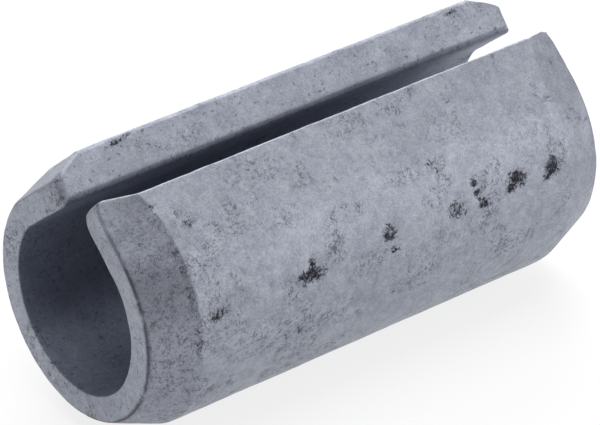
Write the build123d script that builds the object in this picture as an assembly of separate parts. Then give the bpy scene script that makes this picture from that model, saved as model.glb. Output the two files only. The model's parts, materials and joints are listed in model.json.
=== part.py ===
"""Slotted spring pin (roll pin): one strip of spring steel rolled into a tube with an open slot along it.

Frame: millimetres, the pin's axis along X, its middle at the origin, the slot opening upwards (+Z).
"""

from build123d import *
import math
import os

# ---- driving dimensions, mm and degrees -------------------------------------------------------------
pin_length = 18.0          # overall, end face to end face
outer_radius = 4.35        # of the rolled part, free, before the pin is driven (8 mm nominal size)
wall = 1.5                 # thickness of the strip
slot_mouth = 3.0           # width of the slot at the outside, before its edges are eased
lip_start_angle = 41.5     # from the slot's middle plane; nearer the slot the strip is straight, not rolled
chamfer_length = 1.62      # lead-in at each end, along the axis
chamfer_depth = 0.62       # the same lead-in, into the wall
slot_edge_round = 0.22     # tumbled rounding all round each face of the slot
end_rim_round = 0.10       # edge break round the outer and the inner rim of each end face

# ---- worked out from them ---------------------------------------------------------------------------
lip_angle = math.radians(lip_start_angle)
bore_radius = outer_radius - wall
half_length = pin_length / 2
cut_margin = wall          # how far a cutting shape runs past what it cuts


def across_the_pin():
    """The plane square to the axis at mid-length, with its own x along +Y and its own y along +Z."""
    return Plane(origin=(0, 0, 0), x_dir=(0, 1, 0), z_dir=(1, 0, 0))


def rolled_profile(radius):
    """The area inside the rolled strip's skin at this radius: an arc below, two straight lips above.

    The lips are carried on until they meet over the slot, which the slot's wedge cuts away later.
    Profiles of different radius are offsets of each other, so the wall between two of them is even.
    """
    tangent = (radius * math.sin(lip_angle), radius * math.cos(lip_angle))
    mirrored = (-tangent[0], tangent[1])
    bottom = (0, -radius)
    meeting = (0, radius / math.cos(lip_angle))
    with BuildSketch(across_the_pin()) as profile:
        with BuildLine():
            ThreePointArc(mirrored, bottom, tangent)
            Polyline(tangent, meeting, mirrored)
        make_face()
    return profile.sketch


def closed_tube():
    """The rolled strip before its slot is opened: outside, bore, end chamfers and eased end rims."""
    outside = extrude(rolled_profile(outer_radius), amount=half_length, both=True)
    for end in (-Axis.X, Axis.X):
        end_face = outside.faces().sort_by(end)[-1]
        outside = chamfer(end_face.edges(), chamfer_depth, chamfer_length, reference=end_face)
    tube = outside - extrude(rolled_profile(bore_radius), amount=half_length + cut_margin, both=True)
    rims = [edge for end in (-Axis.X, Axis.X) for edge in tube.faces().sort_by(end)[-1].edges()]
    return fillet(rims, end_rim_round)


def slot_wedge():
    """What the slot takes away: both its faces stand square to the lips, so it narrows inwards."""
    lip_reach = (outer_radius * math.sin(lip_angle) - slot_mouth / 2) / math.cos(lip_angle)
    mouth_height = outer_radius * math.cos(lip_angle) + lip_reach * math.sin(lip_angle)
    point_height = mouth_height - slot_mouth / 2 / math.tan(lip_angle)
    top_height = outer_radius / math.cos(lip_angle) + cut_margin
    half_top = (top_height - point_height) * math.tan(lip_angle)
    with BuildSketch(across_the_pin()) as section:
        with BuildLine():
            Polyline((0, point_height), (half_top, top_height), (-half_top, top_height), close=True)
        make_face()
    return extrude(section.sketch, amount=half_length + cut_margin, both=True)


def slot_faces(tube):
    """The two flat faces that the wedge leaves: they look up and across the slot at each other."""
    found = []
    for face in tube.faces().filter_by(GeomType.PLANE):
        looks = face.normal_at()
        across = abs(looks.Y) > abs(looks.X)
        if across and looks.Z > 0 and looks.Y * face.center().Y < 0:
            found.append(face)
    return found


def roll_pin():
    """The whole pin: the tube with its slot opened, and both slot faces eased all round."""
    slotted = closed_tube() - slot_wedge()
    return fillet([edge for face in slot_faces(slotted) for edge in face.edges()], slot_edge_round)


pin = roll_pin()
inner_mouth = slot_mouth - 2 * wall * math.sin(lip_angle)
print(f"bore {2 * bore_radius:.2f} mm, slot {slot_mouth:.2f} mm outside and {inner_mouth:.2f} mm inside")
print(f"volume {pin.volume:.1f} mm3, centre of mass {pin.center(CenterOf.MASS).Z:.3f} mm from the axis")
os.makedirs("parts", exist_ok=True)
export_step(pin, "parts/roll_pin.step")
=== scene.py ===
# %% [markdown]
# # A slotted spring pin, 8 mm by 18 mm
#
# The real pin is one strip of spring steel, rolled into a tube with an open slot along it, chamfered at
# both ends, hardened, phosphated to a dull grey-blue and tumbled until every edge is eased.
#
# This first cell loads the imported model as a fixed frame. Its one node gives the size and the place of
# everything that follows, so no dimension is guessed twice.

# %% Load the frame
import bpy
import bmesh
import json
import math
from mathutils import Matrix, Vector


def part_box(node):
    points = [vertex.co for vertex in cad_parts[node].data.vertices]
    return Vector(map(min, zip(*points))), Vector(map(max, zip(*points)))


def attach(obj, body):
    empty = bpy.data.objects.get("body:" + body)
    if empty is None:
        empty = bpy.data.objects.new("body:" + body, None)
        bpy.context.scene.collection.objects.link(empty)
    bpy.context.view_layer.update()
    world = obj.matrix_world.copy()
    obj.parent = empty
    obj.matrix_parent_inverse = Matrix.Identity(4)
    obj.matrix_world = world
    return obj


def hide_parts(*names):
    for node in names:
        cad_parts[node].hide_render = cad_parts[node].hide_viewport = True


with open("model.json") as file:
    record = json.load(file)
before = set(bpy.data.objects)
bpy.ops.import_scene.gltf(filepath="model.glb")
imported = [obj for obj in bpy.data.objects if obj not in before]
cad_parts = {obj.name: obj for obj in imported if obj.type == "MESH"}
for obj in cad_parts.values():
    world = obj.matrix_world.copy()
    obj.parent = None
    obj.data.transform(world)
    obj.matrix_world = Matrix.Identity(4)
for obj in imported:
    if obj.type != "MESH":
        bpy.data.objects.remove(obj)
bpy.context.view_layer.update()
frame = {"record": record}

MM = 0.001


def in_mm(lengths, digits=3):
    """Lengths in metres as rounded millimetres, for printing."""
    return [round(length / MM, digits) for length in lengths]


# %% [markdown]
# ## Sizes
#
# The record's mounts hold the radii and the stretch between the chamfers. The few sizes that no mount
# carries are named here. Angles are measured round the axis from the slot's middle plane, so 0 is
# straight up through the slot and 180 is the line that the pin lies on. The lips are trimmed by a hair,
# so that their edges stay inside the CAD model's box once they are rounded and worn.

# %% Read the pin's sizes
mounts = {mount["name"]: mount for mount in frame["record"]["mounts"]}
node_low, node_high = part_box("roll_pin")
HALF_LENGTH = node_high[0]
OUTER_RADIUS = mounts["driven_outside"]["dims"]["r_mm"] * MM
BORE_RADIUS = mounts["bore"]["dims"]["r_mm"] * MM
WALL = OUTER_RADIUS - BORE_RADIUS
MID_WALL = BORE_RADIUS + WALL / 2
HALF_PARALLEL = mounts["driven_outside"]["dims"]["length_mm"] * MM / 2
CHAMFER_LENGTH = HALF_LENGTH - HALF_PARALLEL
CHAMFER_DEPTH = 0.62 * MM
SLOT_MOUTH = 3.0 * MM
LIP_START = math.radians(41.5)
LIP_TRIM = 0.03 * MM
LIP_LENGTH = (OUTER_RADIUS * math.sin(LIP_START) - SLOT_MOUTH / 2) / math.cos(LIP_START) - LIP_TRIM
print("wall, chamfer length and lip length, mm:", in_mm((WALL, CHAMFER_LENGTH, LIP_LENGTH), 2))


# %% [markdown]
# ## The camera
#
# A product photographer would use a long lens from above one end, so that the far end is hardly smaller
# than the near one. The camera looks at the middle of the bore from the slot's side, and leans by a
# degree.

# %% Place the camera
CAMERA_AZIMUTH = -39.67
CAMERA_ELEVATION = 32.08
CAMERA_LEAN = 1.38
CAMERA_DISTANCE = 132.87 * MM
CAMERA_TARGET = Vector((-0.12, 0.09, -0.01)) * MM
SENSOR_WIDTH = 36.0
FOCAL_LENGTH = 254.35
NEAREST_SEEN = 0.01
FARTHEST_SEEN = 5.0


def direction(azimuth, elevation):
    """The way from the pin to a camera or lamp. Azimuth 0 is the -Y side and 90 the +X end, in degrees."""
    turned, raised = math.radians(azimuth), math.radians(elevation)
    return Vector((
        math.sin(turned) * math.cos(raised),
        -math.cos(turned) * math.cos(raised),
        math.sin(raised),
    ))


camera_data = bpy.data.cameras.new("studio camera")
camera_data.sensor_width = SENSOR_WIDTH
camera_data.lens = FOCAL_LENGTH
camera_data.clip_start = NEAREST_SEEN
camera_data.clip_end = FARTHEST_SEEN
camera = bpy.data.objects.new("studio camera", camera_data)
bpy.context.scene.collection.objects.link(camera)
bpy.context.scene.camera = camera

towards_camera = direction(CAMERA_AZIMUTH, CAMERA_ELEVATION)
stand = Matrix.Translation(CAMERA_TARGET + towards_camera * CAMERA_DISTANCE)
aim = (-towards_camera).to_track_quat("-Z", "Y").to_matrix().to_4x4()
camera.matrix_world = stand @ aim @ Matrix.Rotation(math.radians(CAMERA_LEAN), 4, "Z")
print("camera at, mm:", in_mm(camera.matrix_world.translation, 1))

# %% [markdown]
# ## Rolling the strip
#
# The pin could be cut from a thick tube with booleans, but they leave long thin triangles that show as
# streaks. The real maker rolls a flat strip, and Blender can do the same: draw the wall's long section
# once, spin it round the bore, and pull the two straight lips out of its ends. Every face is then a quad,
# which subdivides cleanly.
#
# Operators act on whatever is selected, so these helpers select vertices, edges or faces by where they
# are.


# %% Helpers for selecting by place
def start_clean():
    """Leave edit mode and drop any selection, such as the CAD node that loading leaves selected."""
    if bpy.context.mode != "OBJECT":
        bpy.ops.object.mode_set(mode="OBJECT")
    bpy.ops.object.select_all(action="DESELECT")


def take_up(piece):
    """Select this piece alone, so that the next operators act on it."""
    start_clean()
    piece.select_set(True)
    bpy.context.view_layer.objects.active = piece


def pick(piece, kind, test):
    """Select the vertices, edges or faces of the edited piece whose place passes. Returns how many."""
    bpy.ops.mesh.select_mode(type={"verts": "VERT", "edges": "EDGE", "faces": "FACE"}[kind])
    bpy.ops.mesh.select_all(action="DESELECT")
    mesh = bmesh.from_edit_mesh(piece.data)
    count = 0
    for item in getattr(mesh, kind):
        if kind == "verts":
            wanted = test(item.co)
        elif kind == "edges":
            wanted = test(item.verts[0].co, item.verts[1].co)
        else:
            wanted = test(item.calc_center_median())
        if wanted:
            item.select_set(True)
            count += 1
    mesh.select_flush_mode()
    bmesh.update_edit_mesh(piece.data)
    return count


# %% [markdown]
# The pin has two lips, so most places are asked about by side: 1 is the lip on the +Y side and -1 the one
# on the -Y side. In the same way an end is 1 at +X and -1 at -X.


# %% Directions on the roll and on the lips
TOLERANCE = 0.01 * MM


def radial(angle):
    """The direction that points out of the axis at this angle from the slot, towards +Y."""
    return Vector((0.0, math.sin(angle), math.cos(angle)))


def along_lip(side):
    """The direction from the roll up the straight lip."""
    return Vector((0.0, -side * math.cos(LIP_START), math.sin(LIP_START)))


def side_of(place):
    """Which lip this place is nearer to."""
    return 1 if place.y > 0 else -1


def beside_lip(place, side):
    """Is this place on the lip's own side of the axis?"""
    return place.dot(radial(side * LIP_START)) > 0


def out_of_the_skin(place):
    """The direction straight out of the rolled skin here: square to a lip, radial on the roll."""
    side = side_of(place)
    if place.dot(along_lip(side)) > 0 and beside_lip(place, side):
        return radial(side * LIP_START)
    return Vector((0.0, place.y, place.z)).normalized()


# %% [markdown]
# The wall's long section is a plane between the bore and the outside. Extruding its two ends and moving
# their outer corners down makes the chamfers. It is then cut into quads of about 0.4 mm, because the
# later subdivision keeps a roll round only if it starts from short steps.

# %% Draw the wall's long section
BODY_CUTS = 31
CHAMFER_CUTS = 2
WALL_CUTS = 1
SHORTEST_LENGTHWISE_EDGE = 0.05 * MM

start_clean()
first_out = radial(LIP_START)
bpy.ops.mesh.primitive_plane_add(
    size=1.0,
    location=first_out * MID_WALL,
    rotation=(math.pi / 2 - LIP_START, 0.0, 0.0),
)
pin = bpy.context.object
pin.name = "rolled_pin"
pin.scale = (2 * HALF_PARALLEL, WALL, 1.0)
bpy.ops.object.transform_apply(location=True, rotation=True, scale=True)
bpy.ops.object.mode_set(mode="EDIT")

for end in (-1, 1):
    pick(pin, "edges", lambda a, b: min(end * a.x, end * b.x) > HALF_PARALLEL - TOLERANCE)
    bpy.ops.mesh.extrude_region_move(TRANSFORM_OT_translate={"value": (end * CHAMFER_LENGTH, 0, 0)})
    pick(pin, "verts", lambda v: end * v.x > HALF_LENGTH - TOLERANCE and v.dot(first_out) > MID_WALL)
    bpy.ops.transform.translate(value=-CHAMFER_DEPTH * first_out)


def runs_between(low, high):
    """A test for edges that run lengthwise, with their middle between two distances from mid-length."""
    def test(a, b):
        middle = abs(a.x + b.x) / 2
        return abs(a.x - b.x) > SHORTEST_LENGTHWISE_EDGE and low < middle < high
    return test


pick(pin, "edges", runs_between(-1, HALF_PARALLEL / 2))
bpy.ops.mesh.subdivide(number_cuts=BODY_CUTS)
pick(pin, "edges", runs_between(HALF_PARALLEL, HALF_LENGTH))
bpy.ops.mesh.subdivide(number_cuts=CHAMFER_CUTS)
pick(pin, "edges", lambda a, b: abs(a.x - b.x) < TOLERANCE)
bpy.ops.mesh.subdivide(number_cuts=WALL_CUTS)
print("long section:", len(bmesh.from_edit_mesh(pin.data).faces), "quads")

# %% [markdown]
# Spin sweeps the section round the bore, and extrude pulls each end of the sweep straight up into a lip.
# The section was drawn on the +Y side, so the sweep turns through the bottom to the -Y side.

# %% Spin the roll and pull out the lips
ROLL_STEPS = 46
LIP_STEPS = 4
MERGE_DISTANCE = 0.001 * MM

bpy.ops.mesh.select_all(action="SELECT")
bpy.ops.mesh.spin(
    steps=ROLL_STEPS,
    angle=2 * math.pi - 2 * LIP_START,
    center=(0.0, 0.0, 0.0),
    axis=(1.0, 0.0, 0.0),
)
for side in (1, -1):
    one_step = along_lip(side) * (LIP_LENGTH / LIP_STEPS)
    caps = pick(
        pin,
        "faces",
        lambda middle: abs(middle.dot(along_lip(side))) < TOLERANCE and beside_lip(middle, side),
    )
    print("side", side, "lip pulled out of", caps, "faces")
    for step in range(LIP_STEPS):
        bpy.ops.mesh.extrude_region_move(TRANSFORM_OT_translate={"value": one_step})
bpy.ops.mesh.select_all(action="SELECT")
bpy.ops.mesh.remove_doubles(threshold=MERGE_DISTANCE)
bpy.ops.mesh.normals_make_consistent(inside=False)
mesh = bmesh.from_edit_mesh(pin.data)
print("cage:", len(mesh.faces), "faces,", sum(not e.is_manifold for e in mesh.edges), "open edges")
bpy.ops.object.mode_set(mode="OBJECT")

# %% [markdown]
# ## Easing the edges
#
# Tumbling rounds each edge by its own amount: most at the corners and the inner edges of the slot, less
# at its outer edges and round the rims of the end faces, and hardly at all where the chamfer meets the
# outside. One Bevel modifier does them all when each edge carries a bevel weight, because a weight is a
# share of the modifier's width. Doing them together lets Blender join them cleanly at the corners.
#
# The weights are stored first, while every edge is still easy to tell by its place.

# %% Tell the edges apart
SLOT_INSIDE_ROUND = 0.30 * MM
SLOT_CORNER_ROUND = 0.28 * MM
SLOT_OUTSIDE_ROUND = {1: 0.16 * MM, -1: 0.07 * MM}
RIM_ROUND = 0.08 * MM
LIP_TOP_ROUND = 0.16 * MM
BORE_RIM_ROUND = 0.05 * MM
CHAMFER_LINE_ROUND = 0.05 * MM


def is_end_face(face):
    """Does this face look along the pin?"""
    return abs(face.normal.x) > 0.99


def is_slot_face(face):
    """Is this face on the sheared end of a lip?"""
    middle = face.calc_center_median()
    return any(
        abs(middle.dot(along_lip(side)) - LIP_LENGTH) < TOLERANCE and beside_lip(middle, side)
        for side in (1, -1)
    )


def ease_of(edge):
    """What kind of edge this is and how far it is rounded."""
    middle = (edge.verts[0].co + edge.verts[1].co) / 2
    side = side_of(middle)
    lengthwise = abs(edge.verts[0].co.x - edge.verts[1].co.x) > SHORTEST_LENGTHWISE_EDGE
    near_outside = middle.dot(radial(side * LIP_START)) > BORE_RADIUS + WALL / 3
    if any(is_slot_face(face) for face in edge.link_faces):
        if not lengthwise:
            return "slot corner", SLOT_CORNER_ROUND
        if near_outside:
            return "slot outside", SLOT_OUTSIDE_ROUND[side]
        return "slot inside", SLOT_INSIDE_ROUND
    if any(is_end_face(face) for face in edge.link_faces):
        if any(face.normal.dot(out_of_the_skin(middle)) < -0.5 for face in edge.link_faces):
            return "bore rim", BORE_RIM_ROUND
        up = max(middle.dot(along_lip(side)), 0.0) / LIP_LENGTH if near_outside else 0.0
        return "rim", RIM_ROUND + (LIP_TOP_ROUND - RIM_ROUND) * up ** 2
    return "chamfer line", CHAMFER_LINE_ROUND


# %% Weigh the edges for the bevel
SHARP_EDGE = math.radians(12)


def weigh_edges(piece):
    """Give each sharp edge its bevel weight, as a share of the widest rounding."""
    mesh = bmesh.new()
    mesh.from_mesh(piece.data)
    weights = mesh.edges.layers.float.new("bevel_weight_edge")
    counts = {}
    for edge in mesh.edges:
        if edge.calc_face_angle() > SHARP_EDGE:
            kind, size = ease_of(edge)
            edge[weights] = size / SLOT_INSIDE_ROUND
            counts[kind] = counts.get(kind, 0) + 1
    mesh.to_mesh(piece.data)
    mesh.free()
    return counts


print("weighted edges:", weigh_edges(pin))

# %% [markdown]
# ## The lips at the two ends
#
# The chamfer is pressed on after rolling, and the pressing shows at the corners of the slot. The taper is
# shorter on the lips than round the body, because the lips have no neighbour to hold them. A resize along
# the pin, with its centre on the end plane, shortens the taper row by row, most at the top of the lip.

# %% Shorten the taper on the lips
TAPER_SHORTER = 0.26


def at_end_of_lip(place, side, end, height):
    """Is this place on the tapered end of a lip, at this height above the roll?"""
    on_row = abs(place.dot(along_lip(side)) - height) < TOLERANCE and beside_lip(place, side)
    return on_row and place.x * end > HALF_PARALLEL - TOLERANCE


take_up(pin)
bpy.ops.object.mode_set(mode="EDIT")
for side, end in ((-1, -1), (-1, 1), (1, -1), (1, 1)):
    for step in range(1, LIP_STEPS + 1):
        height = LIP_LENGTH * step / LIP_STEPS
        shorter = 1 - TAPER_SHORTER * (step / LIP_STEPS) ** 2
        moved = pick(pin, "verts", lambda v: at_end_of_lip(v, side, end, height))
        bpy.ops.transform.resize(value=(shorter, 1, 1), center_override=(end * HALF_LENGTH, 0, 0))
    print("side", side, "end", end, "rows of", moved)

# %% [markdown]
# The squeezed metal also runs on a little past the straight edge of the slot, further at the -X end and
# further on the -Y lip. Each run-on is one small move of a corner with proportional editing, which lets
# the metal round it follow less and less. The -Y lip keeps a sharper outer edge than the other, so its
# whole top row is then set a little lower, to stay inside the CAD model's box.

# %% Let the squeezed corners run on
RUN_ON_REACH = 1.25 * MM
# (side, end): how far the corner slides up
RUN_ON = {(-1, -1): 0.40 * MM, (-1, 1): 0.19 * MM, (1, -1): 0.22 * MM, (1, 1): 0.10 * MM}
NEAR_LIP_LOWER = 0.065 * MM
TOP_ROW = 0.05 * MM


def coax(move, falloff, reach):
    """Move what is selected, and let the metal within reach follow."""
    bpy.ops.transform.translate(
        value=move,
        use_proportional_edit=True,
        use_proportional_connected=True,
        proportional_edit_falloff=falloff,
        proportional_size=reach,
    )


for (side, end), slide in RUN_ON.items():
    pick(
        pin,
        "verts",
        lambda v: at_end_of_lip(v, side, end, LIP_LENGTH) and end * v.x > HALF_LENGTH - TOLERANCE,
    )
    coax(along_lip(side) * slide, "LINEAR", RUN_ON_REACH)
lowered = pick(
    pin,
    "verts",
    lambda v: v.dot(along_lip(-1)) > LIP_LENGTH - TOP_ROW and beside_lip(v, -1),
)
bpy.ops.transform.translate(value=along_lip(-1) * -NEAR_LIP_LOWER)
print("top row of the -Y lip:", lowered, "vertices set lower")

# %% [markdown]
# The weights were stored before these moves, so the Bevel modifier still finds its edges. Three segments
# are enough, because the subdivision that follows rounds them further.

# %% Bevel the weighed edges
EASING_SEGMENTS = 3

take_up(pin)
easing = pin.modifiers.new("eased edges", "BEVEL")
easing.limit_method = "WEIGHT"
easing.offset_type = "OFFSET"
easing.width = SLOT_INSIDE_ROUND
easing.segments = EASING_SEGMENTS
easing.use_clamp_overlap = True
bpy.ops.object.modifier_apply(modifier=easing.name)
print("eased mesh:", len(pin.data.polygons), "faces")

# %% [markdown]
# A bevel rounds edges, but the tip where a slot face meets an end face still looks pointed from the side.
# The tumbling barrel knocks such tips off first. The vertices that stick out of a rounded tip are picked
# and coaxed back towards the body.

# %% Round the tips of the lips
TIP_ROUND = 0.32 * MM
TIP_PULL = 0.07 * MM


def is_tip(place, side, end, top):
    """Does this place stick out of a corner rounded by the tumbling, seen square to the lip?"""
    short = HALF_LENGTH - end * place.x
    low = top - place.dot(along_lip(side))
    at_corner = abs(low) < TIP_ROUND and short < TIP_ROUND and beside_lip(place, side)
    return at_corner and math.hypot(TIP_ROUND - short, TIP_ROUND - low) > TIP_ROUND


bpy.ops.object.mode_set(mode="EDIT")
for (side, end), slide in RUN_ON.items():
    top = LIP_LENGTH + slide - (NEAR_LIP_LOWER if side < 0 else 0.0)
    tip = pick(pin, "verts", lambda v: is_tip(v, side, end, top))
    print("side", side, "end", end, "tip of", tip, "vertices")
    coax((Vector((-end, 0.0, 0.0)) - along_lip(side)) * TIP_PULL, "SMOOTH", TIP_ROUND)
bpy.ops.object.mode_set(mode="OBJECT")

# %% [markdown]
# Subdivision turns the short flat steps into a smooth roll. The pin can then take its place in the frame:
# it rides on the fixed body and stands in for the CAD node.

# %% Subdivide, and hand the pin to the frame
FINER_LEVELS = 2

finer = pin.modifiers.new("finer quads", "SUBSURF")
finer.levels = finer.render_levels = FINER_LEVELS
bpy.ops.object.modifier_apply(modifier=finer.name)
bpy.ops.object.shade_smooth()
print("finished mesh:", sum(len(face.vertices) - 2 for face in pin.data.polygons), "triangles")

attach(pin, "root")
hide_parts("roll_pin")

# %% [markdown]
# ## Marking the faces of the pin
#
# The finish isn't the same all over: the pressed chamfers carry painted shade, the sheared slot faces are
# peppered, and the bore is painted with shade. The material has to know where it is, so each vertex gets a
# few marks between 0 and 1, stored as attributes. They come from the way each vertex faces, before any
# wear is added.

# %% Helpers for marks
def smooth(low, high, value):
    """0 below low, 1 above high, and an even S-curve between."""
    share = min(max((value - low) / (high - low), 0.0), 1.0)
    return share * share * (3.0 - 2.0 * share)


def mark(piece, values):
    """Store one list of numbers per mark as a vertex attribute."""
    for name, numbers in values.items():
        layer = piece.data.attributes.new(name, "FLOAT", "POINT")
        layer.data.foreach_set("value", numbers)


# %% [markdown]
# Each pair below says where a mark starts and where it is full. The first four compare the way a vertex
# faces with a direction, where 1 is dead on. An edge counts as worn when its vertices face none of the
# flat ways.
#
# The marks aren't the same all over either. The painted shade on the chamfer is full only at the -X end on
# the -Y side, less and less towards the slot. Painted shade sits in the crease round the rim on the -Y
# side at the -X end and on the top at the +X end. The painted shade of the bore thins towards the +X end.

# %% Marks for chamfer, end face, slot face, bore, edge wear and rim
CHAMFER_TILT = math.atan2(CHAMFER_DEPTH, CHAMFER_LENGTH)
FACES_IT = (0.6, 0.95)
FACES_THE_SKIN = (0.5, 0.8)
LEANS_LIKE_A_CHAMFER = (0.14, 0.30)
LIES_FLAT = (0.90, 0.995)
# the width of the painted shade in the crease round the rims, and where round each rim it lies
CREASE = (0.03 * MM, 0.14 * MM)
CREASE_AROUND = {-1: (-0.3, 0.4), 1: (0.0, 0.6)}
# the painted shade in the bore thins from here towards the +X end
BORE_FADE_FROM = 5.5 * MM
BORE_FADE = 0.5
# the share of painted chamfer shade, and of chamfer veins, at the +X end and on the +Y side
FAR_CHAMFER_SHADE_AND_VEINS = 0.35
# the painted chamfer shade fades out towards the slot
TAPER_FADE = (-0.4 * MM, 1.4 * MM)
# the painted crease shade fades out towards the slot at the -X end
RIM_FADE = (0.3 * MM, 2.4 * MM)


def marks_at(place, normal):
    """The six marks of one vertex."""
    out, side = out_of_the_skin(place), side_of(place)
    to_slot = LIP_LENGTH - place.dot(along_lip(side))

    end = smooth(*FACES_IT, abs(normal.x))
    slot = smooth(*FACES_IT, normal.dot(along_lip(side))) if beside_lip(place, side) else 0.0
    # The bore mark is painted shade on the bore wall, thinner towards the +X end where light comes in.
    bore = smooth(*FACES_THE_SKIN, -normal.dot(out))
    bore *= 1 - BORE_FADE * smooth(BORE_FADE_FROM, HALF_LENGTH, place.x)

    # The chamfer mark is painted shade on the chamfers, and also gathers dark veins there.
    taper = smooth(*LEANS_LIKE_A_CHAMFER, abs(normal.x)) * smooth(*FACES_THE_SKIN, normal.dot(out))
    taper = taper * (1 - end) * (1 - slot)
    lengthwise = Vector((math.copysign(1, place.x), 0, 0))
    tapered = out * math.cos(CHAMFER_TILT) + lengthwise * math.sin(CHAMFER_TILT)
    flat = max(abs(normal.x), normal.dot(along_lip(side)), abs(normal.dot(out)), normal.dot(tapered))
    worn = 1 - smooth(*LIES_FLAT, flat)

    # The rim mark is painted shade in the crease round the rim of each end.
    rim_gap = math.hypot(HALF_LENGTH - abs(place.x), OUTER_RADIUS - CHAMFER_DEPTH - place.dot(out))
    rim = 1 - smooth(*CREASE, rim_gap)
    if place.x < 0:
        rim *= smooth(*CREASE_AROUND[-1], -place.y / OUTER_RADIUS)
    else:
        rim *= smooth(*CREASE_AROUND[1], place.z / OUTER_RADIUS)
    # Painted chamfer shade is full only at the -X end on the -Y side, and fades towards the slot there.
    if place.x > 0 or side > 0:
        taper *= FAR_CHAMFER_SHADE_AND_VEINS
    else:
        taper *= smooth(*TAPER_FADE, to_slot)
        rim *= smooth(*RIM_FADE, to_slot)
    return {
        "taper": taper,
        "end_face": end,
        "slot_face": slot,
        "bore_wall": bore,
        "worn_edge": worn,
        "rim": rim,
    }


marks = {}
for vertex, normal in zip(pin.data.vertices, pin.data.vertex_normals):
    for name, value in marks_at(vertex.co, normal.vector).items():
        marks.setdefault(name, []).append(value)
mark(pin, marks)
print({name: round(sum(values) / len(values), 3) for name, values in marks.items()})

# %% [markdown]
# The stains and the patches of thick veins are listed one by one. On the skin, x is the place along the
# pin and "down" the distance down the skin from the slot's -Y corner. On the +Y lip's sheared face, "down"
# is the distance in from its outer edge. All are in millimetres.


# %% Places on the skin and on the slot face
def on_skin(x, down):
    """The point on the outside at this x and this far down from the slot's -Y corner."""
    if down * MM < LIP_LENGTH:
        flat = radial(-LIP_START) * OUTER_RADIUS + along_lip(-1) * (LIP_LENGTH - down * MM)
    else:
        flat = radial(-LIP_START - (down * MM - LIP_LENGTH) / OUTER_RADIUS) * OUTER_RADIUS
    return Vector((x * MM, flat.y, flat.z))


def on_slot_face(x, down):
    """The point on the +Y lip's sheared face, this far in from its outer edge."""
    flat = radial(LIP_START) * (OUTER_RADIUS - down * MM) + along_lip(1) * LIP_LENGTH
    return Vector((x * MM, flat.y, flat.z))


# %% The stains and the veined patches
# x, down, half width, half height, strength
STAINS = (
    (-3.15, 4.45, 0.66, 0.30, 1.0),
    (-3.05, 4.12, 0.18, 0.30, 0.95),
    (-2.62, 4.40, 0.16, 0.20, 0.8),
    (-0.03, 4.18, 0.30, 0.36, 0.95),
    (0.10, 4.72, 0.24, 0.14, 0.85),
    (2.65, 4.30, 0.42, 0.38, 0.82),
    (3.02, 4.52, 0.16, 0.16, 0.75),
    (3.46, 3.70, 0.20, 0.18, 0.9),
    (3.54, 4.08, 0.18, 0.22, 1.0),
    (3.72, 4.46, 0.26, 0.22, 1.0),
    (5.18, 4.12, 0.50, 0.34, 1.0),
    (4.88, 4.34, 0.26, 0.22, 0.95),
    (6.62, 4.24, 0.36, 0.36, 1.05),
    (6.40, 4.46, 0.30, 0.18, 0.9),
    (6.64, 3.86, 0.14, 0.14, 0.85),
    (-6.75, 4.42, 0.50, 0.26, 0.8),
    (-6.69, 1.50, 0.34, 0.22, 0.66),
    (-6.81, 7.25, 0.24, 0.24, 0.72),
    (2.13, 2.62, 0.18, 0.22, 0.7),
    (2.26, 2.95, 0.14, 0.20, 0.6),
    (-3.60, 6.10, 0.30, 0.34, 0.6),
    (-2.60, 6.10, 0.40, 0.24, 0.52),
    (-8.05, 0.42, 0.35, 0.14, 0.62),
    (-7.50, 0.62, 0.45, 0.12, 0.5),
    (-5.10, 6.20, 0.60, 0.26, 0.5),
    (8.22, 0.75, 0.07, 0.80, 0.65),
    (-2.30, 1.35, 0.16, 0.26, 0.58),
    (3.72, 1.90, 0.12, 0.30, 0.55),
    (-6.90, 1.05, 0.10, 0.34, 0.62),
    (-7.85, 0.70, 0.70, 0.12, 0.66),
    (-8.30, 1.55, 0.16, 0.50, 0.62),
    (-7.55, 2.10, 0.22, 0.30, 0.66),
    (-7.50, 2.70, 0.16, 0.40, 0.66),
    (-7.52, 3.60, 0.14, 0.60, 0.62),
    (-7.48, 5.10, 0.12, 0.70, 0.60),
    (-8.00, 5.60, 0.10, 0.50, 0.52),
)
SLOT_FACE_STAINS = (
    (-6.35, 0.30, 0.34, 0.11, 1.0),
    (-5.95, 0.20, 0.22, 0.08, 0.9),
    (6.95, 0.30, 0.36, 0.11, 1.0),
    (6.95, 0.68, 0.24, 0.16, 0.62),
    (-8.70, 0.75, 0.22, 0.16, 0.85),
)
VEINED = (
    (-3.9, 0.75, 1.0, 0.5, 1.0),
    (-2.3, 1.35, 0.35, 0.5, 1.0),
    (0.0, 0.5, 1.1, 0.5, 0.9),
    (1.0, 2.65, 0.7, 0.35, 1.0),
    (3.0, 1.7, 0.5, 0.7, 0.8),
    (3.7, 1.6, 0.25, 1.2, 1.0),
    (-2.1, 3.8, 0.45, 0.8, 1.0),
    (-5.2, 2.4, 1.4, 0.5, 0.6),
    (-3.5, 2.4, 0.6, 0.5, 0.9),
    (-5.0, 5.9, 1.9, 0.8, 0.9),
    (-2.3, 6.1, 1.0, 0.6, 0.9),
    (-0.9, 4.9, 0.8, 0.4, 0.9),
    (1.8, 5.4, 1.8, 0.8, 0.6),
    (6.0, 2.6, 1.2, 1.2, 0.5),
    (-6.8, 1.4, 0.6, 0.5, 0.8),
    (-7.7, 3.6, 0.3, 1.2, 1.0),
    (-7.6, 6.2, 0.3, 1.6, 1.0),
    (-6.6, 4.4, 0.8, 0.6, 0.8),
)


# %% Find what each patch covers
PATCH_EDGE = (0.25, 1.6)
PATCH_REACH = 2


def placed(patches, put):
    """The rows of a table with their centres put on the pin, in metres."""
    return [(put(x, down), wide * MM, high * MM, strength) for x, down, wide, high, strength in patches]


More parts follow.
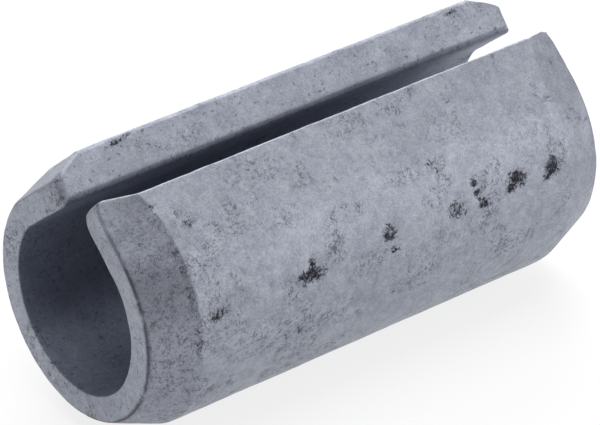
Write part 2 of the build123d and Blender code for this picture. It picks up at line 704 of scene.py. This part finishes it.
def patches_at(place, patches):
    """How strongly any of these patches covers this place."""
    most = 0.0
    for centre, wide, high, strength in patches:
        gap = place - centre
        if abs(gap.x) > PATCH_REACH * wide or max(abs(gap.y), abs(gap.z)) > PATCH_REACH * high:
            continue
        reach = math.sqrt((gap.x / wide) ** 2 + (gap.y / high) ** 2 + (gap.z / high) ** 2)
        most = max(most, strength * (1 - smooth(*PATCH_EDGE, reach)))
    return most


stains = placed(STAINS, on_skin) + placed(SLOT_FACE_STAINS, on_slot_face)
veined = placed(VEINED, on_skin)
marks["stained"] = [patches_at(vertex.co, stains) for vertex in pin.data.vertices]
marks["veined"] = [patches_at(vertex.co, veined) for vertex in pin.data.vertices]
mark(pin, {name: marks[name] for name in ("stained", "veined")})
print("vertices well under a stain:", sum(value > 0.3 for value in marks["stained"]))

# %% [markdown]
# ## Wear in the shape
#
# A tumbled pin isn't perfectly even. Displace modifiers push the surface in along its normals by
# hundredths of a millimetre, driven by cloud textures. A middle level above 1 makes each push go inwards
# only, so the pin never grows. The first one works all over. The other two work only where a vertex group
# says: the edges, which are nicked, and the stains, which are shallow pits.

# %% Dent the skin, then nick the edges and pit the stains
INWARDS_ONLY = 1.1
DENT_CONTRAST = 1.6
LEAST_WEIGHT = 0.02
# name, depth, grain of the cloud, its levels, the mark that says where
WEAR = (
    ("uneven skin", 0.020 * MM, 0.9 * MM, 2, ""),
    ("nicked edges", 0.018 * MM, 0.45 * MM, 2, "worn_edge"),
    ("pitted stains", 0.05 * MM, 0.16 * MM, 1, "stained"),
)


def weight_group(piece, name):
    """A vertex group with the weights of one mark."""
    group = piece.vertex_groups.new(name=name)
    for index, weight in enumerate(marks[name]):
        if weight > LEAST_WEIGHT:
            group.add([index], weight, "REPLACE")
    return group.name


def press_in(piece, name, depth, grain, levels, where):
    """Push the surface in by up to this depth, in patches of this grain."""
    cloud = bpy.data.textures.new(name, "CLOUDS")
    cloud.noise_scale = grain
    cloud.noise_depth = levels
    cloud.contrast = DENT_CONTRAST
    dents = piece.modifiers.new(name, "DISPLACE")
    dents.texture = cloud
    dents.texture_coords = "LOCAL"
    dents.direction = "NORMAL"
    dents.mid_level = INWARDS_ONLY
    dents.strength = depth
    if where:
        dents.vertex_group = weight_group(piece, where)
    bpy.ops.object.modifier_apply(modifier=dents.name)


take_up(pin)
for row in WEAR:
    press_in(pin, *row)
pin.vertex_groups.clear()
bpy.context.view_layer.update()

# %% [markdown]
# ## The phosphated finish
#
# Tempered steel is often given a thin zinc phosphate coat. It looks like dull blue-grey metal: mottled,
# with clumps of fine dark veins where the crystals grew thicker, and a few dark scabs of dried oil. All
# of this is made with noise on Object coordinates, scaled so that one unit is a millimetre.
#
# The helpers below add their nodes to whichever node tree is called tree at the time.

# %% Helpers for linking and for sums
steel = bpy.data.materials.new("phosphated steel")
steel.use_nodes = True
tree = steel.node_tree
tree.nodes.clear()


def socket(target, value):
    """Link a socket, or set a plain number, vector or colour."""
    if isinstance(value, bpy.types.NodeSocket):
        tree.links.new(value, target)
    else:
        target.default_value = value


def maths(operation, first, second=0.0, third=0.0):
    """One sum on numbers or on the outputs of other nodes."""
    step = tree.nodes.new("ShaderNodeMath")
    step.operation = operation
    for target, value in zip(step.inputs, (first, second, third)):
        socket(target, value)
    return step.outputs[0]


def rise(value, low, high, to_low=0.0, to_high=1.0):
    """A smooth step from one value to another."""
    step = tree.nodes.new("ShaderNodeMapRange")
    step.interpolation_type = "SMOOTHSTEP"
    for name, number in (("From Min", low), ("From Max", high), ("To Min", to_low), ("To Max", to_high)):
        step.inputs[name].default_value = number
    socket(step.inputs["Value"], value)
    return step.outputs["Result"]


def blend(share, first, second):
    """A mix of two colours. A share of 1 gives the second."""
    mix = tree.nodes.new("ShaderNodeMix")
    mix.data_type = "RGBA"
    socket(mix.inputs["Factor"], share)
    socket(mix.inputs["A"], first)
    socket(mix.inputs["B"], second)
    return mix.outputs["Result"]


# %% Helpers for clouds, veins and marks
coordinates = tree.nodes.new("ShaderNodeTexCoord")
PER_MM = (1 / MM, 1 / MM, 1 / MM)


def noise(scale, detail, roughness, distortion, shift):
    """Cloud noise on the pin, in features per millimetre. Each shift gives a different cloud."""
    place = tree.nodes.new("ShaderNodeMapping")
    place.inputs["Scale"].default_value = PER_MM
    place.inputs["Location"].default_value = (shift, shift, shift)
    tree.links.new(coordinates.outputs["Object"], place.inputs["Vector"])
    cloud = tree.nodes.new("ShaderNodeTexNoise")
    cloud.inputs["Scale"].default_value = scale
    cloud.inputs["Detail"].default_value = detail
    cloud.inputs["Roughness"].default_value = roughness
    cloud.inputs["Distortion"].default_value = distortion
    tree.links.new(place.outputs[0], cloud.inputs["Vector"])
    return cloud.outputs["Fac"]


def thread(cloud, width):
    """Thin lines where a cloud passes through its middle value."""
    return rise(maths("ABSOLUTE", maths("SUBTRACT", cloud, 0.5)), 0.0, width, 1.0, 0.0)


def attribute(name):
    """One of the marks stored on the vertices."""
    layer = tree.nodes.new("ShaderNodeAttribute")
    layer.attribute_name = name
    return layer.outputs["Fac"]


taper, end_face = attribute("taper"), attribute("end_face")
slot_face, bore_wall = attribute("slot_face"), attribute("bore_wall")
worn, rim = attribute("worn_edge"), attribute("rim")
stained, veined_here = attribute("stained"), attribute("veined")

# %% The clouds that the finish is made from
# name: features per millimetre, detail, roughness, distortion, shift
CLOUDS = {
    "broad": (0.5, 3.0, 0.55, 0.3, 0.0),
    "middling": (2.2, 4.0, 0.6, 0.4, 7.0),
    "fine": (15.0, 3.0, 0.8, 0.0, 3.0),
    "clumps": (0.62, 3.0, 0.6, 0.6, 11.0),
    "big curls": (1.6, 3.0, 0.55, 1.3, 19.0),
    "small curls": (3.4, 2.0, 0.5, 1.7, 23.0),
    "breaks": (4.0, 2.0, 0.5, 0.0, 29.0),
    "stipple": (9.0, 3.0, 0.65, 0.5, 31.0),
    "pale curls": (2.3, 4.0, 0.6, 1.0, 47.0),
    "crumbs": (8.0, 4.0, 0.75, 1.0, 37.0),
    "crease_shade": (1.1, 3.0, 0.6, 0.0, 53.0),
    "pepper": (7.0, 2.0, 0.5, 0.0, 41.0),
}
clouds = {name: noise(*numbers) for name, numbers in CLOUDS.items()}
print("clouds:", len(clouds))

# %% [markdown]
# Curling veins are drawn where a cloud passes through its middle value, broken up by another cloud. They
# are dark in clumps, in the veined patches and on the chamfers where these carry painted shade, and faint
# elsewhere. The sheared slot faces have fewer of them.

# %% Veins
FAINT_VEINS = 0.28
STIPPLE_STRENGTH = 0.65
FEWER_ON_SLOT_FACE = 0.45

clumps = rise(clouds["clumps"], 0.47, 0.62)
clumps = maths("MAXIMUM", maths("MAXIMUM", clumps, veined_here), taper)
broken = rise(clouds["breaks"], 0.43, 0.56)
curls = maths("MAXIMUM", thread(clouds["big curls"], 0.022), thread(clouds["small curls"], 0.040))
curls = maths("MULTIPLY", curls, broken)
stipple = maths("MULTIPLY", rise(clouds["stipple"], 0.52, 0.66), STIPPLE_STRENGTH)
dark = maths("MULTIPLY", maths("MAXIMUM", curls, stipple), clumps)
dark = maths("MAXIMUM", dark, maths("MULTIPLY", curls, FAINT_VEINS))
dark = maths("MULTIPLY", dark, maths("MULTIPLY_ADD", slot_face, -FEWER_ON_SLOT_FACE, 1.0))
pale_curls = maths("MULTIPLY", thread(clouds["pale curls"], 0.030), rise(broken, 0.2, 0.8, 0.8, 0.1))

# %% [markdown]
# The placed stains would be smooth ovals, so a crumbly cloud is added to them before they are cut off at
# a level: what is left has a ragged edge and loose crumbs round it. Pepper is the top of a fine cloud,
# and is kept to the sheared faces and the bore. The crease is painted shade round the rims.

# %% Scabs, crease and pepper
RAGGEDNESS = 2.6

ragged = maths("MULTIPLY_ADD", maths("SUBTRACT", clouds["crumbs"], 0.5), RAGGEDNESS, stained)
scabs = maths("MULTIPLY", rise(ragged, 0.42, 1.0), rise(stained, 0.03, 0.30))
# painted shade in the crease round the rims, broken up by a cloud
crease_shade = maths("MULTIPLY", rim, rise(clouds["crease_shade"], 0.38, 0.52, 0.25, 1.0))
peppered = maths("MAXIMUM", maths("MAXIMUM", slot_face, bore_wall), end_face)
pepper = maths("MULTIPLY", rise(clouds["pepper"], 0.63, 0.70), peppered)

# %% Mottle and colour
DARK_STEEL = (0.240, 0.256, 0.305, 1)
PALE_STEEL = (0.385, 0.408, 0.468, 1)
# what it is, how much of it covers the steel, its colour
COATS = (
    (pale_curls, 0.30, (0.50, 0.52, 0.57, 1)),
    (dark, 0.85, (0.075, 0.078, 0.105, 1)),
    (pepper, 0.60, (0.07, 0.07, 0.09, 1)),
    # painted shade on the chamfers
    (taper, 0.24, (0.160, 0.168, 0.215, 1)),
    # painted shade in the bore
    (bore_wall, 0.46, (0.082, 0.106, 0.180, 1)),
    # painted shade in the crease round the rims
    (crease_shade, 0.75, (0.05, 0.05, 0.07, 1)),
    (scabs, 0.97, (0.012, 0.009, 0.018, 1)),
)

middling, fine = clouds["middling"], clouds["fine"]
tone = maths("MULTIPLY_ADD", middling, 0.45, maths("MULTIPLY", fine, 0.85))
tone = maths("MULTIPLY_ADD", clouds["broad"], 0.30, tone)
colour = blend(rise(tone, 0.56, 1.04), DARK_STEEL, PALE_STEEL)
for what, cover, tint in COATS:
    colour = blend(maths("MULTIPLY", what, cover), colour, tint)
print("coats over the steel:", len(COATS))

# %% [markdown]
# The coat is metal under a thin matt skin: mostly metallic and rather rough, rougher still in the veins
# and scabs, on worn edges and inside the bore. A Bump node gives the crystals their grain. Its distance
# is in metres, like everything else here, so it is tiny.

# %% The shader
METALLIC = 0.85
COAT_ROUGHNESS = 0.42
# what makes it rougher, by how much
ROUGHER = (
    (dark, 0.12),
    (fine, 0.16),
    (maths("MAXIMUM", bore_wall, worn), 0.18),
    (scabs, 0.10),
)
BUMP_STRENGTH = 0.35
BUMP_DEPTH = 0.03 * MM

roughness = COAT_ROUGHNESS
for what, extra in ROUGHER:
    roughness = maths("MULTIPLY_ADD", what, extra, roughness)
grain = maths("MULTIPLY_ADD", middling, 0.55, maths("MULTIPLY", fine, 0.45))
grain = maths("SUBTRACT", grain, maths("MULTIPLY", dark, 0.25))
bump = tree.nodes.new("ShaderNodeBump")
bump.inputs["Strength"].default_value = BUMP_STRENGTH
bump.inputs["Distance"].default_value = BUMP_DEPTH
socket(bump.inputs["Height"], grain)

steel_shader = tree.nodes.new("ShaderNodeBsdfPrincipled")
steel_shader.inputs["Metallic"].default_value = METALLIC
socket(steel_shader.inputs["Base Color"], colour)
socket(steel_shader.inputs["Roughness"], roughness)
socket(steel_shader.inputs["Normal"], bump.outputs["Normal"])
steel_output = tree.nodes.new("ShaderNodeOutputMaterial")
socket(steel_output.inputs["Surface"], steel_shader.outputs[0])
pin.data.materials.clear()
pin.data.materials.append(steel)
print("finish:", len(tree.nodes), "nodes")

# %% [markdown]
# ## The studio
#
# The pin lies on a sheet of white paper that runs far out of view. Lighting the paper until it turns
# white would burn the steel out, so the paper shows itself brighter to the camera than it is: a Light
# Path node blends some plain white glow into it for camera, mirror and glass rays only. The rest of what
# is seen stays matt paper, which keeps the pin's shadow, and the light that the paper throws on the pin
# is that of plain paper.

# %% The paper floor
FLOOR_SIZE = 3.0
PAPER_GLOW = 0.8
PAPER_WHITE = (0.88, 0.88, 0.88, 1.0)

start_clean()
bpy.ops.mesh.primitive_plane_add(size=FLOOR_SIZE, location=(0, 0, node_low[2]))
floor = bpy.context.object
floor.name = "studio_floor"

paper = bpy.data.materials.new("white paper")
paper.use_nodes = True
tree = paper.node_tree
tree.nodes.clear()
matt = tree.nodes.new("ShaderNodeBsdfDiffuse")
matt.inputs["Color"].default_value = PAPER_WHITE
glow = tree.nodes.new("ShaderNodeEmission")
glow.inputs["Strength"].default_value = 1.0
path = tree.nodes.new("ShaderNodeLightPath")
seen = maths("MAXIMUM", path.outputs["Is Camera Ray"], path.outputs["Is Glossy Ray"])
seen = maths("MAXIMUM", seen, path.outputs["Is Transmission Ray"])
paper_mix = tree.nodes.new("ShaderNodeMixShader")
socket(paper_mix.inputs[0], maths("MULTIPLY", seen, PAPER_GLOW))
socket(paper_mix.inputs[1], matt.outputs[0])
socket(paper_mix.inputs[2], glow.outputs[0])
paper_output = tree.nodes.new("ShaderNodeOutputMaterial")
socket(paper_output.inputs["Surface"], paper_mix.outputs[0])
floor.data.materials.append(paper)
print("floor at, mm:", in_mm([node_low[2]]))

# %% [markdown]
# A white world gives the soft light from everywhere, and four large softboxes give the steel its form.
# Bright metal shows the lamps themselves, so they are wide: a small lamp would leave a hard streak down
# the pin. The key stands beyond the far end on the camera's side, the weak side one lights the flank low
# down, the top one fills the slot face, and the strongest, at the back, skims the far lip and leaves a
# bright line along it.

# %% World and softboxes
WORLD_WHITE = (1, 1, 1, 1)
WORLD_STRENGTH = 0.30
SOFTBOX_SIZE = 0.28
SOFTBOX_DISTANCE = 0.35
# name, azimuth, elevation, watts
SOFTBOXES = (
    ("key softbox", 45, 20, 0.43),
    ("side softbox", 75, 5, 0.12),
    ("back softbox", 150, 35, 1.15),
    ("top softbox", 0, 89, 0.85),
)

world = bpy.data.worlds.new("studio")
bpy.context.scene.world = world
world.use_nodes = True
sky = world.node_tree.nodes["Background"]
sky.inputs["Color"].default_value = WORLD_WHITE
sky.inputs["Strength"].default_value = WORLD_STRENGTH


def softbox(name, azimuth, elevation, watts):
    """A square lamp that faces the pin."""
    light = bpy.data.lights.new(name, "AREA")
    light.shape = "SQUARE"
    light.size = SOFTBOX_SIZE
    light.energy = watts
    lamp = bpy.data.objects.new(name, light)
    towards_lamp = direction(azimuth, elevation)
    lamp.location = towards_lamp * SOFTBOX_DISTANCE
    lamp.rotation_mode = "QUATERNION"
    lamp.rotation_quaternion = (-towards_lamp).to_track_quat("-Z", "Y")
    bpy.context.scene.collection.objects.link(lamp)
    print(name, watts, "W")


for row in SOFTBOXES:
    softbox(*row)

# %% [markdown]
# ## Finish
#
# The Standard view keeps colours as they are written.

# %% Set the view
bpy.context.scene.view_settings.view_transform = "Standard"
